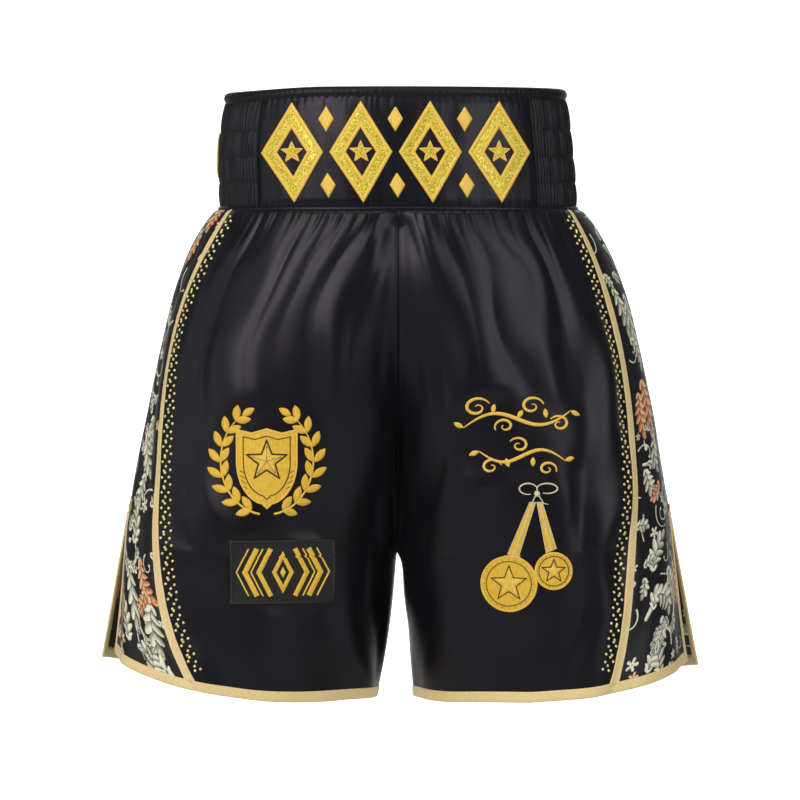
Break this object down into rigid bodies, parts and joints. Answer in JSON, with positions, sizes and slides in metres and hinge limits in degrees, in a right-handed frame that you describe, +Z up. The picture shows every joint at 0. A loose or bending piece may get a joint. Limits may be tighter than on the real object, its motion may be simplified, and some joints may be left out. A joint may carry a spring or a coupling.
{
  "type": "boxing shorts",
  "caption": "Loose satin boxing shorts with a high shirred waistband, gold-bound printed side panels, side vents and embroidered motifs.",
  "frame": {"origin": "centre of the waist opening, level with the seam that joins the waistband to the legs", "axes": "+Z up towards the waistband's top, front of the garment towards -Y, the wearer's left leg on +X"},
  "size_m": [0.5158, 0.2368, 0.5273],
  "materials": {
    "black_satin": "glossy black satin",
    "shirred_satin": "glossy black satin gathered on elastic",
    "printed_satin": "black satin printed with cream, grey and orange scrolls",
    "lining_satin": "plain black lining",
    "gold_binding": "pale gold satin bias tape",
    "glitter_gold": "yellow-gold glitter fabric",
    "gold_thread": "golden yellow embroidery thread",
    "pale_thread": "cream embroidery thread",
    "patch_twill": "black twill",
    "interlining": "soft white wadding",
    "elastic_webbing": "white ribbed elastic",
    "brass_studs": "polished"
  },
  "bodies": {
    "root": {"back_motif_1": "glitter_gold", "back_motif_2": "glitter_gold", "back_motif_3": "glitter_gold", "back_motif_4": "glitter_gold", "front_motif_1_edging": "gold_thread", "front_motif_1_glitter": "glitter_gold", "front_motif_2_edging": "gold_thread", "front_motif_2_glitter": "glitter_gold", "front_motif_3_edging": "gold_thread", "front_motif_3_glitter": "glitter_gold", "front_motif_4_edging": "gold_thread", "front_motif_4_glitter": "glitter_gold", "left_back_panel": "black_satin", "left_back_seam_binding": "gold_binding", "left_back_side_panel": "printed_satin", "left_back_studs": "brass_studs", "left_back_vent_binding": "gold_binding", "left_front_panel": "black_satin", "left_front_seam_binding": "gold_binding", "left_front_side_panel": "printed_satin", "left_front_studs": "brass_studs", "left_front_vent_binding": "gold_binding", "left_hem_binding": "gold_binding", "left_leg_flourish_lower": "gold_thread", "left_leg_flourish_upper": "gold_thread", "left_leg_medals": "gold_thread", "left_leg_ribbons": "pale_thread", "left_vent_bar_tack": "gold_thread", "left_waistband_shirring": "shirred_satin", "right_back_panel": "black_satin", "right_back_seam_binding": "gold_binding", "right_back_side_panel": "printed_satin", "right_back_studs": "brass_studs", "right_back_vent_binding": "gold_binding", "right_front_panel": "black_satin", "right_front_seam_binding": "gold_binding", "right_front_side_panel": "printed_satin", "right_front_studs": "brass_studs", "right_front_vent_binding": "gold_binding", "right_hem_binding": "gold_binding", "right_leg_crest": "gold_thread", "right_leg_laurel": "gold_thread", "right_leg_patch": "patch_twill", "right_leg_patch_bars": "pale_thread", "right_leg_patch_edging": "pale_thread", "right_side_badge": "gold_thread", "right_vent_bar_tack": "gold_thread", "right_waistband_shirring": "shirred_satin", "waist_seam_welt": "black_satin", "waistband_back_padding": "interlining", "waistband_back_panel": "black_satin", "waistband_elastic": "elastic_webbing", "waistband_front_padding": "interlining", "waistband_front_panel": "black_satin", "waistband_lining": "lining_satin", "waistband_top_ruffle": "shirred_satin"}
  },
  "joints": []
}
